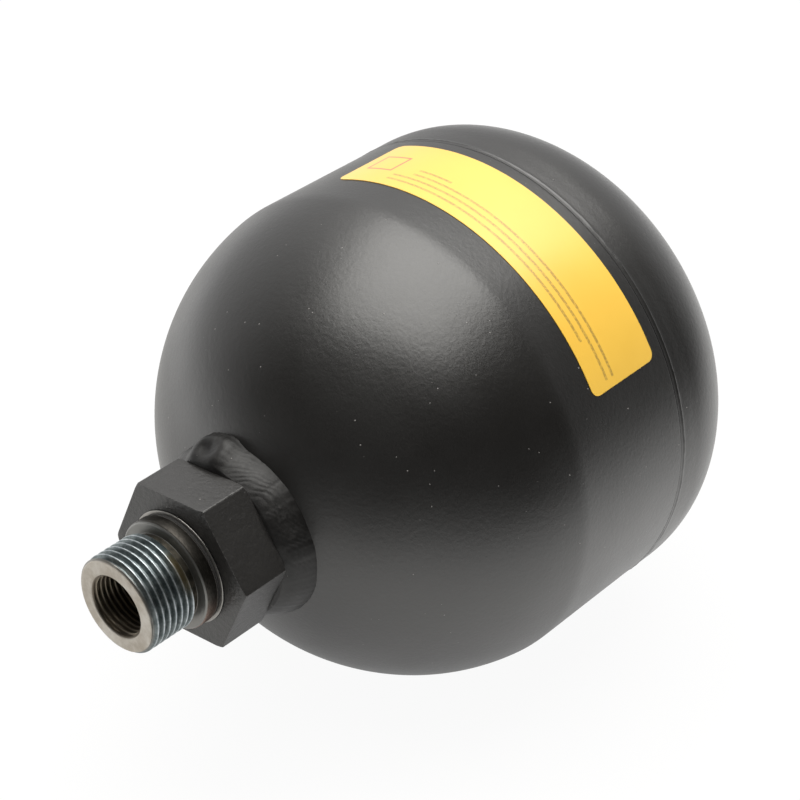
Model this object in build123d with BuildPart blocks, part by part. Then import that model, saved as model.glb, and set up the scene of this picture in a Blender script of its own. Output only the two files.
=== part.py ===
from build123d import *
from math import cos, radians, sin, sqrt
import os

# Welded diaphragm accumulator, in millimetres.
#
# The vessel's axis is the Y axis. The origin is the centre of the fluid port's open end, and +Y runs
# from there through the vessel to the charging port on the gas side. +Z is up with the vessel on its
# side. Every round piece is turned about Y from a half section drawn in the XY plane, so in those
# sketches X is the radius and Y is the place along the axis.

# ---------------------------------------------------------------- driving dimensions

# Fluid port: M27 x 2 stud with an M18 x 1.5 thread inside, on a 41 mm hexagon
STUD_THREAD_DIAMETER = 27.0
STUD_THREAD_LENGTH = 13.8
STUD_CHAMFER = 0.9
RELIEF_DIAMETER = 24.0
RELIEF_LENGTH = 2.6
COLLAR_DIAMETER = 30.6
COLLAR_LENGTH = 3.8
COLLAR_EDGE = 0.5
SEAL_GROOVE_WIDTH = 1.0
SEAL_GROOVE_DEPTH = 1.6
LIP_DIAMETER = 31.8
LIP_THICKNESS = 0.5
HEX_ACROSS_FLATS = 41.0
HEX_THICKNESS = 14.6
HEX_CORNER_CUT = 0.5
HEX_TURN = 6.0
NECK_DIAMETER = 32.0
INNER_THREAD_BORE = 16.4
INNER_THREAD_DEPTH = 15.0
BORE_CHAMFER = 0.8
DRILL_POINT_LENGTH = 2.0
PASSAGE_DIAMETER = 11.0
SEAT_HEIGHT = 0.5
SEAT_CHAMFER = 1.0

# Front shell: half ellipsoid that runs without a step into a turned band
BAND_DIAMETER = 139.3
BAND_LENGTH = 41.2
BAND_LEAD = 9.6
DOME_DEPTH = 67.7
WALL = 5.5
PORT_STAND_OFF = 4.1

# Girth seam and rear shell
SEAM_WIDTH = 1.6
SEAM_ROOT_DEPTH = 0.4
REAR_PROUD = 0.25
REAR_STEP = 0.6
REAR_STRAIGHT = 6.7
REAR_DEPTH = 42.6

# Fillet welds
PORT_WELD_TOE_RADIUS = 26.0
PORT_WELD_TOP_RADIUS = 21.6
PORT_WELD_BULGE = 0.5
WELD_STOP_ANGLE = 106.0
WELD_STOP_RADIUS = 3.4
WELD_STOP_TURN_RADIUS = 23.6
WELD_STOP_DROP = 1.4
GAS_WELD_LEG = 3.6

# Diaphragm, its rim and the ring that holds it
RUBBER = 2.6
RIM_WIDTH = 7.5
RIM_GROOVE_DEPTH = 1.2
RIM_TO_SEAM = 8.0
CLAMP_RING_THICKNESS = 4.2
CLAMP_LIP_THICKNESS = 1.6
CLAMP_RING_PAST_SEAM = 6.0
BUTTON_DIAMETER = 30.0
BUTTON_THICKNESS = 5.0
BUTTON_BEVEL = 2.0

# Gas port: M28 x 1.5 stub with an M14 x 1.5 charging screw
GAS_THREAD_DIAMETER = 28.0
GAS_THREAD_LENGTH = 9.5
GAS_RELIEF_DIAMETER = 25.6
GAS_RELIEF_LENGTH = 2.0
GAS_FOOT_DIAMETER = 33.0
GAS_FOOT_HEIGHT = 4.0
GAS_NECK_DIAMETER = 22.0
GAS_NECK_REACH = 1.5
GAS_CHAMFER = 1.0
COUNTERBORE_DIAMETER = 20.0
COUNTERBORE_DEPTH = 8.0
SCREW_THREAD_DIAMETER = 14.0
SCREW_HEAD_DIAMETER = 19.0
SCREW_HEAD_HEIGHT = 5.6
SCREW_LENGTH = 9.0
SCREW_SOCKET_FLATS = 6.0
SCREW_SOCKET_DEPTH = 4.2
SCREW_CHAMFER = 0.6
SCREW_BORE_RUN_OUT = 2.0
GAS_HOLE_DIAMETER = 4.0
SCREW_SEAL_THICKNESS = 1.2

# Label: a thin curved plate on the band
LABEL_THICKNESS = 0.2
LABEL_WIDTH = 25.3
LABEL_FROM_SEAM = 4.1
LABEL_START_ANGLE = 28.5
LABEL_ARC = 84.0
LABEL_CORNER = 2.4

# Clearances
WELD_FIT = 0.1
SEAL_FIT = 0.1
RUBBER_FIT = 0.4
SEAT_FIT = 0.3
THREAD_FIT = 0.05

# ---------------------------------------------------------------- places along the axis

relief_start = STUD_THREAD_LENGTH
collar_start = relief_start + RELIEF_LENGTH
groove_start = collar_start + COLLAR_LENGTH
groove_end = groove_start + SEAL_GROOVE_WIDTH
hex_front = groove_end + LIP_THICKNESS
hex_back = hex_front + HEX_THICKNESS
front_pole = hex_back + PORT_STAND_OFF
dome_centre = front_pole + DOME_DEPTH
seat_face = front_pole + WALL + SEAT_HEIGHT
band_start = dome_centre - BAND_LEAD
seam_start = band_start + BAND_LENGTH
seam_end = seam_start + SEAM_WIDTH
rear_centre = seam_end + REAR_STRAIGHT
rear_pole = rear_centre + REAR_DEPTH

band_radius = BAND_DIAMETER / 2
# the dome is cut short of its full radius, where it meets the band
dome_radius = band_radius / sqrt(1 - (BAND_LEAD / DOME_DEPTH) ** 2)
rear_radius = band_radius + REAR_PROUD
bore_radius = dome_radius - WALL
rear_bore_depth = REAR_DEPTH - WALL
dome_bore_depth = DOME_DEPTH - WALL

rim_end = seam_start - RIM_TO_SEAM
rim_start = rim_end - RIM_WIDTH
rim_groove_radius = bore_radius + RIM_GROOVE_DEPTH
membrane_radius = bore_radius - RUBBER_FIT
lip_outer_radius = membrane_radius - RUBBER - RUBBER_FIT
lip_inner_radius = lip_outer_radius - CLAMP_LIP_THICKNESS
button_seat = seat_face + SEAT_FIT
button_top = button_seat + BUTTON_THICKNESS

foot_end = rear_pole + GAS_FOOT_HEIGHT
gas_thread_start = foot_end + GAS_RELIEF_LENGTH
gas_end = gas_thread_start + GAS_THREAD_LENGTH
gas_inner_end = rear_pole - WALL - GAS_NECK_REACH
screw_floor = gas_end - COUNTERBORE_DEPTH
head_seat = screw_floor + SCREW_SEAL_THICKNESS
head_top = head_seat + SCREW_HEAD_HEIGHT
screw_tip = head_seat - SCREW_LENGTH
screw_bore_end = screw_tip - SCREW_BORE_RUN_OUT

reach = 2 * (dome_radius + DOME_DEPTH)


def ellipse_place(at_radius, centre, radius, depth):
    """Distance along the axis from the centre of an ellipsoid where it has the given radius."""
    return centre + depth * sqrt(1 - (at_radius / radius) ** 2)


def ring(inner, outer, start, end, mode=Mode.ADD):
    """Rectangle of a half section, between two radii and two places along the axis."""
    with Locations(((inner + outer) / 2, (start + end) / 2)):
        Rectangle(outer - inner, end - start, mode=mode)


def dome_section(radius, depth, centre, direction, mode=Mode.ADD):
    """Quarter of an ellipse in a half section; direction is -1 towards the port, +1 towards the gas."""
    with BuildSketch(mode=Mode.PRIVATE) as quarter:
        Circle(radius)
        with Locations((radius / 2, direction * radius / 2)):
            Rectangle(radius, radius, mode=Mode.INTERSECT)
    section = scale(quarter.sketch, by=(1, depth / radius, 1), mode=Mode.PRIVATE)
    add(section.moved(Location((0, centre, 0))), mode=mode)


def outline(*points, mode=Mode.ADD):
    """Straight-sided closed outline of a half section."""
    Polygon(*points, align=None, mode=mode)


# ---------------------------------------------------------------- fluid port

stud_radius = STUD_THREAD_DIAMETER / 2
relief_radius = RELIEF_DIAMETER / 2
collar_radius = COLLAR_DIAMETER / 2
groove_radius = collar_radius - SEAL_GROOVE_DEPTH
lip_radius = LIP_DIAMETER / 2
hex_corner_radius = HEX_ACROSS_FLATS / sqrt(3)
neck_radius = NECK_DIAMETER / 2
inner_thread_radius = INNER_THREAD_BORE / 2
passage_radius = PASSAGE_DIAMETER / 2
drill_end = INNER_THREAD_DEPTH + DRILL_POINT_LENGTH

with BuildPart() as fluid_port:
    with BuildSketch(Plane.XZ.offset(-hex_front)):
        RegularPolygon(HEX_ACROSS_FLATS / 2, 6, major_radius=False, rotation=HEX_TURN)
    extrude(amount=-HEX_THICKNESS)
    # turned chamfer that takes the sharp corners off the hexagon's front
    with BuildSketch(Plane.XY):
        outline(
            (0, hex_front),
            (hex_corner_radius - HEX_CORNER_CUT, hex_front),
            (hex_corner_radius, hex_front + HEX_CORNER_CUT),
            (hex_corner_radius, hex_back),
            (0, hex_back),
        )
    revolve(axis=Axis.Y, mode=Mode.INTERSECT)
    with BuildSketch(Plane.XY):
        outline(
            (0, 0),
            (stud_radius - STUD_CHAMFER, 0),
            (stud_radius, STUD_CHAMFER),
            (stud_radius, relief_start),
            (relief_radius, relief_start + (stud_radius - relief_radius) / 2),
            (relief_radius, collar_start),
            (collar_radius - COLLAR_EDGE, collar_start),
            (collar_radius, collar_start + COLLAR_EDGE),
            (collar_radius, groove_start),
            (groove_radius, groove_start),
            (groove_radius, groove_end),
            (lip_radius, groove_end),
            (lip_radius, hex_front),
            (neck_radius, hex_front),
            (neck_radius, seat_face),
            (0, seat_face),
        )
    revolve(axis=Axis.Y)
    with BuildSketch(Plane.XY):
        outline(
            (0, 0),
            (inner_thread_radius + BORE_CHAMFER, 0),
            (inner_thread_radius, BORE_CHAMFER),
            (inner_thread_radius, INNER_THREAD_DEPTH),
            (passage_radius, drill_end),
            (passage_radius, seat_face - SEAT_CHAMFER),
            (passage_radius + SEAT_CHAMFER, seat_face),
            (0, seat_face),
        )
    revolve(axis=Axis.Y, mode=Mode.SUBTRACT)

with BuildPart() as port_seal_ring:
    with BuildSketch(Plane.XY):
        ring(
            groove_radius + SEAL_FIT,
            collar_radius - 2 * SEAL_FIT,
            groove_start + SEAL_FIT,
            groove_end - SEAL_FIT,
        )
    revolve(axis=Axis.Y)

# ---------------------------------------------------------------- shells and girth seam

with BuildPart() as fluid_shell:
    with BuildSketch(Plane.XY):
        dome_section(dome_radius, DOME_DEPTH, dome_centre, -1)
        ring(0, reach, band_start, dome_centre, mode=Mode.SUBTRACT)
        outline(
            (0, band_start),
            (band_radius, band_start),
            (band_radius, seam_start),
            (0, seam_start),
        )
        dome_section(bore_radius, dome_bore_depth, dome_centre, -1, mode=Mode.SUBTRACT)
        ring(0, bore_radius, dome_centre, seam_start, mode=Mode.SUBTRACT)
        ring(0, rim_groove_radius, rim_start, rim_end, mode=Mode.SUBTRACT)
        ring(0, neck_radius + WELD_FIT, front_pole, seat_face + WALL, mode=Mode.SUBTRACT)
    revolve(axis=Axis.Y)

with BuildPart() as girth_weld:
    with BuildSketch(Plane.XY):
        outline(
            (bore_radius, seam_start),
            (band_radius, seam_start),
            (band_radius - SEAM_ROOT_DEPTH, seam_end - SEAM_ROOT_DEPTH),
            (band_radius, seam_end),
            (bore_radius, seam_end),
        )
    revolve(axis=Axis.Y)

with BuildPart() as gas_shell:
    with BuildSketch(Plane.XY):
        dome_section(rear_radius, REAR_DEPTH, rear_centre, 1)
        outline(
            (0, seam_end),
            (band_radius, seam_end),
            (rear_radius, seam_end + REAR_STEP),
            (rear_radius, rear_centre),
            (0, rear_centre),
        )
        dome_section(bore_radius, rear_bore_depth, rear_centre, 1, mode=Mode.SUBTRACT)
        ring(0, bore_radius, seam_end, rear_centre, mode=Mode.SUBTRACT)
        ring(0, GAS_NECK_DIAMETER / 2 + WELD_FIT, gas_inner_end - WALL, rear_pole, mode=Mode.SUBTRACT)
    revolve(axis=Axis.Y)

# ---------------------------------------------------------------- weld round the fluid port

weld_toe = 2 * dome_centre - ellipse_place(PORT_WELD_TOE_RADIUS, dome_centre, dome_radius, DOME_DEPTH)
weld_middle = (
    (PORT_WELD_TOP_RADIUS + PORT_WELD_TOE_RADIUS) / 2 + PORT_WELD_BULGE,
    (hex_back + weld_toe) / 2 - PORT_WELD_BULGE,
)
stop_place = (
    WELD_STOP_TURN_RADIUS * cos(radians(WELD_STOP_ANGLE)),
    weld_toe - WELD_STOP_DROP - WELD_STOP_RADIUS / 2,
    WELD_STOP_TURN_RADIUS * sin(radians(WELD_STOP_ANGLE)),
)

with BuildPart() as fluid_port_weld:
    with BuildSketch(Plane.XY):
        with BuildLine():
            Line((PORT_WELD_TOP_RADIUS, hex_back), (neck_radius, hex_back))
            Line((neck_radius, hex_back), (neck_radius, weld_toe))
            Line((neck_radius, weld_toe), (PORT_WELD_TOE_RADIUS, weld_toe))
            ThreePointArc(
                (PORT_WELD_TOE_RADIUS, weld_toe), weld_middle, (PORT_WELD_TOP_RADIUS, hex_back)
            )
        make_face()
    revolve(axis=Axis.Y)
    # the lump where the welder stopped
    with Locations(stop_place):
        Sphere(WELD_STOP_RADIUS)
    with BuildSketch(Plane.XY):
        dome_section(dome_radius, DOME_DEPTH, dome_centre, -1)
    revolve(axis=Axis.Y, mode=Mode.SUBTRACT)
    add(fluid_port.part, mode=Mode.SUBTRACT)

# ---------------------------------------------------------------- diaphragm, rim ring and button

with BuildPart() as clamp_ring:
    with BuildSketch(Plane.XY):
        ring(lip_inner_radius, lip_outer_radius, rim_start, rim_end)
        ring(
            lip_inner_radius,
            lip_inner_radius + CLAMP_RING_THICKNESS,
            rim_end + RUBBER_FIT,
            seam_end + CLAMP_RING_PAST_SEAM,
        )
        ring(lip_inner_radius, lip_outer_radius, rim_end, rim_end + RUBBER_FIT)
    revolve(axis=Axis.Y)

button_clear_radius = BUTTON_DIAMETER / 2 + RUBBER_FIT
membrane_depth = dome_bore_depth - RUBBER_FIT
pocket_floor = button_top + RUBBER_FIT
pocket_foot = 2 * dome_centre - ellipse_place(
    button_clear_radius + RUBBER, dome_centre, membrane_radius, membrane_depth
)

with BuildPart() as diaphragm:
    with BuildSketch(Plane.XY):
        # the cup lies against the front shell
        dome_section(membrane_radius, membrane_depth, dome_centre, -1)
        ring(0, membrane_radius, dome_centre, rim_start + RUBBER_FIT)
        dome_section(
            membrane_radius - RUBBER, membrane_depth - RUBBER, dome_centre, -1, mode=Mode.SUBTRACT
        )
        ring(0, membrane_radius - RUBBER, dome_centre, rim_end, mode=Mode.SUBTRACT)
        # a shallow pocket in its middle goes round the button
        ring(0, button_clear_radius, 0, pocket_floor, mode=Mode.SUBTRACT)
        ring(button_clear_radius, button_clear_radius + RUBBER, pocket_foot, pocket_floor)
        ring(0, button_clear_radius + RUBBER, pocket_floor, pocket_floor + RUBBER)
        # its rim fills the groove between the shell and the clamp ring
        ring(
            lip_outer_radius + RUBBER_FIT,
            rim_groove_radius - RUBBER_FIT,
            rim_start + RUBBER_FIT,
            rim_end - RUBBER_FIT,
        )
    revolve(axis=Axis.Y)

button_radius = BUTTON_DIAMETER / 2

with BuildPart() as closing_button:
    with BuildSketch(Plane.XY):
        outline(
            (0, button_seat),
            (button_radius - BUTTON_BEVEL, button_seat),
            (button_radius, button_seat + BUTTON_BEVEL),
            (button_radius, button_top),
            (0, button_top),
        )
    revolve(axis=Axis.Y)

# ---------------------------------------------------------------- gas port and charging screw

gas_thread_radius = GAS_THREAD_DIAMETER / 2
gas_relief_radius = GAS_RELIEF_DIAMETER / 2
gas_foot_radius = GAS_FOOT_DIAMETER / 2
gas_neck_radius = GAS_NECK_DIAMETER / 2
counterbore_radius = COUNTERBORE_DIAMETER / 2
screw_radius = SCREW_THREAD_DIAMETER / 2
head_radius = SCREW_HEAD_DIAMETER / 2
foot_start = ellipse_place(gas_foot_radius, rear_centre, rear_radius, REAR_DEPTH)

with BuildPart() as gas_port:
    with BuildSketch(Plane.XY):
        outline(
            (0, gas_inner_end),
            (gas_neck_radius, gas_inner_end),
            (gas_neck_radius, rear_pole),
            (gas_foot_radius, rear_pole),
            (gas_foot_radius, foot_end),
            (gas_relief_radius, foot_end),
            (gas_relief_radius, gas_thread_start),
            (gas_thread_radius, gas_thread_start),
            (gas_thread_radius, gas_end - GAS_CHAMFER),
            (gas_thread_radius - GAS_CHAMFER, gas_end),
            (0, gas_end),
        )
        ring(0, GAS_HOLE_DIAMETER / 2, gas_inner_end, screw_bore_end, mode=Mode.SUBTRACT)
        ring(0, screw_radius + THREAD_FIT, screw_bore_end, screw_floor, mode=Mode.SUBTRACT)
        ring(0, counterbore_radius, screw_floor, gas_end, mode=Mode.SUBTRACT)
    revolve(axis=Axis.Y)

with BuildPart() as gas_port_weld:
    with BuildSketch(Plane.XY):
        outline(
            (gas_neck_radius, rear_pole),
            (gas_foot_radius, rear_pole + GAS_FOOT_HEIGHT / 2),
            (gas_foot_radius + GAS_WELD_LEG, foot_start),
            (gas_foot_radius + GAS_WELD_LEG, foot_start - GAS_FOOT_HEIGHT / 2),
            (gas_neck_radius, foot_start - GAS_FOOT_HEIGHT / 2),
        )
    revolve(axis=Axis.Y)
    with BuildSketch(Plane.XY):
        dome_section(rear_radius, REAR_DEPTH, rear_centre, 1)
    revolve(axis=Axis.Y, mode=Mode.SUBTRACT)
    add(gas_port.part, mode=Mode.SUBTRACT)

with BuildPart() as charging_screw:
    with BuildSketch(Plane.XY):
        outline(
            (0, screw_tip),
            (screw_radius - SCREW_CHAMFER, screw_tip),
            (screw_radius, screw_tip + SCREW_CHAMFER),
            (screw_radius, head_seat),
            (head_radius, head_seat),
            (head_radius, head_top - SCREW_CHAMFER),
            (head_radius - SCREW_CHAMFER, head_top),
            (0, head_top),
        )
    revolve(axis=Axis.Y)
    with BuildSketch(Plane.XZ.offset(-head_top)):
        RegularPolygon(SCREW_SOCKET_FLATS / 2, 6, major_radius=False)
    extrude(amount=SCREW_SOCKET_DEPTH, mode=Mode.SUBTRACT)

with BuildPart() as charging_screw_seal:
    with BuildSketch(Plane.XY):
        ring(screw_radius + SEAL_FIT, head_radius, screw_floor, head_seat)
    revolve(axis=Axis.Y)

# ---------------------------------------------------------------- label

label_end = seam_start - LABEL_FROM_SEAM
label_plane = Plane.XY.rotated((0, -(LABEL_START_ANGLE + LABEL_ARC), 0))

with BuildPart() as side_label:
    with BuildSketch(label_plane):
        ring(band_radius, band_radius + LABEL_THICKNESS, label_end - LABEL_WIDTH, label_end)
    revolve(axis=Axis.Y, revolution_arc=LABEL_ARC)
    corners = side_label.edges().sort_by(SortBy.LENGTH)[:4]
    fillet(corners, LABEL_CORNER)

# ---------------------------------------------------------------- write the pieces

fluid_shell.part.label = "fluid_shell"
gas_shell.part.label = "gas_shell"
girth_weld.part.label = "girth_weld"
fluid_port.part.label = "fluid_port"
fluid_port_weld.part.label = "fluid_port_weld"
port_seal_ring.part.label = "port_seal_ring"
side_label.part.label = "side_label"
diaphragm.part.label = "diaphragm"
closing_button.part.label = "closing_button"
clamp_ring.part.label = "clamp_ring"
gas_port.part.label = "gas_port"
gas_port_weld.part.label = "gas_port_weld"
charging_screw.part.label = "charging_screw"
charging_screw_seal.part.label = "charging_screw_seal"

os.makedirs("parts", exist_ok=True)
export_step(fluid_shell.part, "parts/fluid_shell.step")
export_step(gas_shell.part, "parts/gas_shell.step")
export_step(girth_weld.part, "parts/girth_weld.step")
export_step(fluid_port.part, "parts/fluid_port.step")
export_step(fluid_port_weld.part, "parts/fluid_port_weld.step")
export_step(port_seal_ring.part, "parts/port_seal_ring.step")
export_step(side_label.part, "parts/side_label.step")
export_step(diaphragm.part, "parts/diaphragm.step")
export_step(closing_button.part, "parts/closing_button.step")
export_step(clamp_ring.part, "parts/clamp_ring.step")
export_step(gas_port.part, "parts/gas_port.step")
export_step(gas_port_weld.part, "parts/gas_port_weld.step")
export_step(charging_screw.part, "parts/charging_screw.step")
export_step(charging_screw_seal.part, "parts/charging_screw_seal.step")
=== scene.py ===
import math

import bmesh
import bpy
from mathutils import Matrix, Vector, noise


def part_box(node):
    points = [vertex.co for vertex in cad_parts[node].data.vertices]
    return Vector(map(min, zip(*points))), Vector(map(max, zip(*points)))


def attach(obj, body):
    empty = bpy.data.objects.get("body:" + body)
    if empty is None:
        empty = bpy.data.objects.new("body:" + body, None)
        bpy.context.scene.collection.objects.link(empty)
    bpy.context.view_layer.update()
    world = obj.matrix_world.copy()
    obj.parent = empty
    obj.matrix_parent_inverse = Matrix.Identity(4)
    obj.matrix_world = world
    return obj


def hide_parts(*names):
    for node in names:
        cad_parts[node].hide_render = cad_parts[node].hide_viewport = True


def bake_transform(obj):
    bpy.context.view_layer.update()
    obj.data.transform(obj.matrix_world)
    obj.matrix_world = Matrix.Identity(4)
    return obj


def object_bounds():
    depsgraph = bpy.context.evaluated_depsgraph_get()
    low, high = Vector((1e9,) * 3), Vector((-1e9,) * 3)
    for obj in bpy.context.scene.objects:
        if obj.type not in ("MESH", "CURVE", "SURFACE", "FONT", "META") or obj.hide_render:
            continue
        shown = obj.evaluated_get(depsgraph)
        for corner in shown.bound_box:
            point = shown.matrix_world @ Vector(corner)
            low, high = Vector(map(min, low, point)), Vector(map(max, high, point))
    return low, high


# Welded diaphragm accumulator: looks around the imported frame, in metres.
# The vessel's axis is Y. Angles round it start at +X and turn towards +Z.

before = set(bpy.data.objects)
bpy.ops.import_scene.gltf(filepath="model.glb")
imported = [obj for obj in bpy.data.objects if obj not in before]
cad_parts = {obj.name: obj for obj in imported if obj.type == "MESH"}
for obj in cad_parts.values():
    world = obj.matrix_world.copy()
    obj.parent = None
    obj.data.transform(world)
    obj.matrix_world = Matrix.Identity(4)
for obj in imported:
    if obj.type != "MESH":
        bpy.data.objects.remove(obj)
CAD_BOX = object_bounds()
MM = 0.001

# ---------------------------------------------------------------- places, from the frame


def reach(node):
    """(start, end, radius) of a node turned about Y."""
    low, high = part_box(node)
    return low[1], high[1], high[0]


SEAM_START, SEAM_END, BAND_RADIUS = reach("girth_weld")
REAR_RADIUS = reach("gas_shell")[2]
SEAT_FACE = reach("fluid_port")[1]
HEX_BACK, WELD_TOE, WELD_REACH = reach("fluid_port_weld")
RING_START, RING_END = reach("port_seal_ring")[:2]
LABEL_START, LABEL_END = reach("side_label")[:2]
LABEL_RADIUS = BAND_RADIUS + 0.2 * MM
GAS_INNER, GAS_END, GAS_FOOT_RADIUS = reach("gas_port")
GAS_WELD_END, GAS_WELD_RADIUS = reach("gas_port_weld")[1:]
RUBBER_END, RIM_RADIUS = reach("diaphragm")[1:]
BUTTON_TOP, BUTTON_RADIUS = reach("closing_button")[1:]
SCREW_TIP = reach("charging_screw")[0]
FLOOR = CAD_BOX[0][2]

# ---------------------------------------------------------------- sizes that the frame's boxes don't give

PORT_STAND_OFF = 4.1 * MM
SHELL_POLE = HEX_BACK + PORT_STAND_OFF
DOME_DEPTH = 67.7 * MM
DOME_CENTRE = SHELL_POLE + DOME_DEPTH
BAND_LEAD = 9.6 * MM
BAND_START = DOME_CENTRE - BAND_LEAD
DOME_RADIUS = BAND_RADIUS / math.sqrt(1 - (BAND_LEAD / DOME_DEPTH) ** 2)
REAR_STRAIGHT = 6.7 * MM
REAR_DEPTH = 42.6 * MM
REAR_CENTRE = SEAM_END + REAR_STRAIGHT
REAR_POLE = REAR_CENTRE + REAR_DEPTH
REAR_SWELL = 0.14 * MM
WALL = 5.5 * MM
BORE_RADIUS = DOME_RADIUS - WALL
CREASE = 1.8 * MM
SEAM_DRIFT = 0.14 * MM
SEAM_DRIFT_REACH = 3.0 * MM
SHELL_SEGMENTS = 320

STUD_RADIUS = 13.5 * MM
STUD_PITCH = 2.0 * MM
STUD_THREAD_END = 13.8 * MM
STUD_THREAD_DEPTH = 1.15 * MM
STUD_CHAMFER = 0.9 * MM
RELIEF_RADIUS = 12.0 * MM
COLLAR_START = 16.4 * MM
COLLAR_RADIUS = 15.3 * MM
COLLAR_END = RING_START - 0.1 * MM
GROOVE_END = RING_END + 0.1 * MM
GROOVE_RADIUS = COLLAR_RADIUS - 1.6 * MM
LIP_RADIUS = 15.9 * MM
HEX_FRONT = GROOVE_END + 0.5 * MM
HEX_FLATS = 41.0 * MM
HEX_CORNER = HEX_FLATS / math.sqrt(3)
HEX_TURN = 6.0
HEX_BEVEL = 0.09 * MM
HEX_BLUNT = 0.07 * MM
HEX_CHAMFER = 0.75 * MM
NECK_RADIUS = 16.0 * MM
INNER_BORE_RADIUS = 8.2 * MM
INNER_PITCH = 1.5 * MM
MOUTH_CHAMFER = 0.8 * MM
INNER_THREAD_END = 15.0 * MM
INNER_THREAD_DEPTH = 0.8 * MM
INNER_THREAD_FADE = 1.5 * MM
PASSAGE_RADIUS = 5.5 * MM

GAS_RADIUS = 14.0 * MM
GAS_PITCH = 1.5 * MM
GAS_RELIEF_RADIUS = 12.8 * MM
GAS_NECK_RADIUS = 11.0 * MM
GAS_THREAD_START = GAS_END - 9.5 * MM
GAS_THREAD_DEPTH = 0.86 * MM
COUNTERBORE_RADIUS = 10.0 * MM
COUNTERBORE_DEPTH = 8.0 * MM
SCREW_HOLE_RADIUS = 7.05 * MM
GAS_HOLE_RADIUS = 2.0 * MM

LABEL_FROM = 28.5
LABEL_TO = 112.5
LABEL_CORNER = 2.4 * MM

# ---------------------------------------------------------------- mesh helpers

LONGEST_CUT = 0.45  # of a side, so that two rounded corners never meet
THREAD_CREST_EDGE = 0.86  # of half a pitch from the root
THREAD_FLANK = 0.62  # of half a pitch
THREAD_FADE = 0.6  # pitches


def clamp(value):
    """The value, held between 0 and 1."""
    return min(1.0, max(0.0, value))


def smooth_object(name, mesh, angle=32.0):
    """An object of that mesh, smooth but for edges sharper than the angle."""
    mesh.validate()
    mesh.shade_smooth()
    mesh.set_sharp_from_angle(angle=math.radians(angle))
    piece = bpy.data.objects.new(name, mesh)
    bpy.context.scene.collection.objects.link(piece)
    return piece


def add_attribute(mesh, name, values):
    """A number on each vertex that a material can read."""
    layer = mesh.attributes.new(name, "FLOAT", "POINT")
    layer.data.foreach_set("value", values)


def turned(radius, place, angle):
    """The point at a radius and an angle round Y."""
    return (radius * math.cos(angle), place, radius * math.sin(angle))


def lathe(name, profile, segments, shape=None, angle=32.0):
    """A closed (radius, place) profile turned about Y. shape(angle, radius, place) moves each point."""
    points = []
    for radius, place in profile:
        for k in range(segments):
            turn = 2 * math.pi * k / segments
            r, y = shape(turn, radius, place) if shape else (radius, place)
            points.append(turned(r, y, turn))
    return woven(name, points, segments, angle)


def woven(name, points, count, angle):
    """A closed skin over rows of count points each, with every row and the stack of rows closed."""
    rows = len(points) // count
    faces = []
    for i in range(rows):
        j = (i + 1) % rows
        for k in range(count):
            m = (k + 1) % count
            faces.append((i * count + k, i * count + m, j * count + m, j * count + k))
    mesh = bpy.data.meshes.new(name)
    mesh.from_pydata(points, [], faces)
    face_outwards(mesh)
    return smooth_object(name, mesh, angle)


def face_outwards(mesh):
    """Turns every face of a closed mesh outwards."""
    work = bmesh.new()
    work.from_mesh(mesh)
    bmesh.ops.recalc_face_normals(work, faces=work.faces)
    work.to_mesh(mesh)
    work.free()


def fine(points, step):
    """Adds points so that no run of the profile is longer than step."""
    out = []
    for (r0, y0), (r1, y1) in zip(points, points[1:]):
        count = max(1, math.ceil(math.hypot(r1 - r0, y1 - y0) / step))
        out += [(r0 + (r1 - r0) * k / count, y0 + (y1 - y0) * k / count) for k in range(count)]
    return out + [points[-1]]


def blend_corner(start, corner, end, steps):
    """Points of a smooth curve that leaves start and reaches end, pulled towards the corner."""
    a, b, c = Vector(start), Vector(corner), Vector(end)
    out = []
    for k in range(steps + 1):
        t = k / steps
        p = (1 - t) ** 2 * a + 2 * t * (1 - t) * b + t**2 * c
        out.append((p.x, p.y))
    return out


def rounded(points, radius, steps=4):
    """Rounds the inner corners of a profile by up to the radius."""
    out = [points[0]]
    for before, corner, after in zip(points, points[1:], points[2:]):
        a, b, c = Vector(before), Vector(corner), Vector(after)
        cut = min(radius, LONGEST_CUT * (a - b).length, LONGEST_CUT * (c - b).length)
        out += blend_corner(b + (a - b).normalized() * cut, b, b + (c - b).normalized() * cut, steps)
    return out + [points[-1]]


def ellipse(radius, depth, centre, start, end, steps):
    """Points of an ellipse about the axis, between two angles from the pole, in degrees."""
    out = []
    for k in range(steps + 1):
        turn = math.radians(start + (end - start) * k / steps)
        out.append((radius * math.sin(turn), centre + depth * math.cos(turn)))
    return out


def pole_angle(at_radius, radius):
    """Angle from the pole, in degrees, where an ellipse has that radius."""
    return math.degrees(math.asin(at_radius / radius))


def wave(turn, place, seed, size=1.0):
    """Smooth noise round the axis, between about -1 and 1."""
    return noise.noise(Vector((size * math.cos(turn) + seed, size * math.sin(turn) - seed, place + seed)))


def thread_depth(turn, place, start, end, pitch):
    """How deep a thread is cut at a point, from 0 at its crest to 1 at its root."""
    phase = ((place - start) / pitch - turn / (2 * math.pi)) % 1.0
    from_root = abs(phase - 0.5) * 2
    flank = clamp((THREAD_CREST_EDGE - from_root) / THREAD_FLANK)
    soft = flank * flank * (3 - 2 * flank)
    depth = 0.65 * flank + 0.35 * soft
    return depth * clamp((end - place) / (THREAD_FADE * pitch))


# ---------------------------------------------------------------- material helpers


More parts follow.
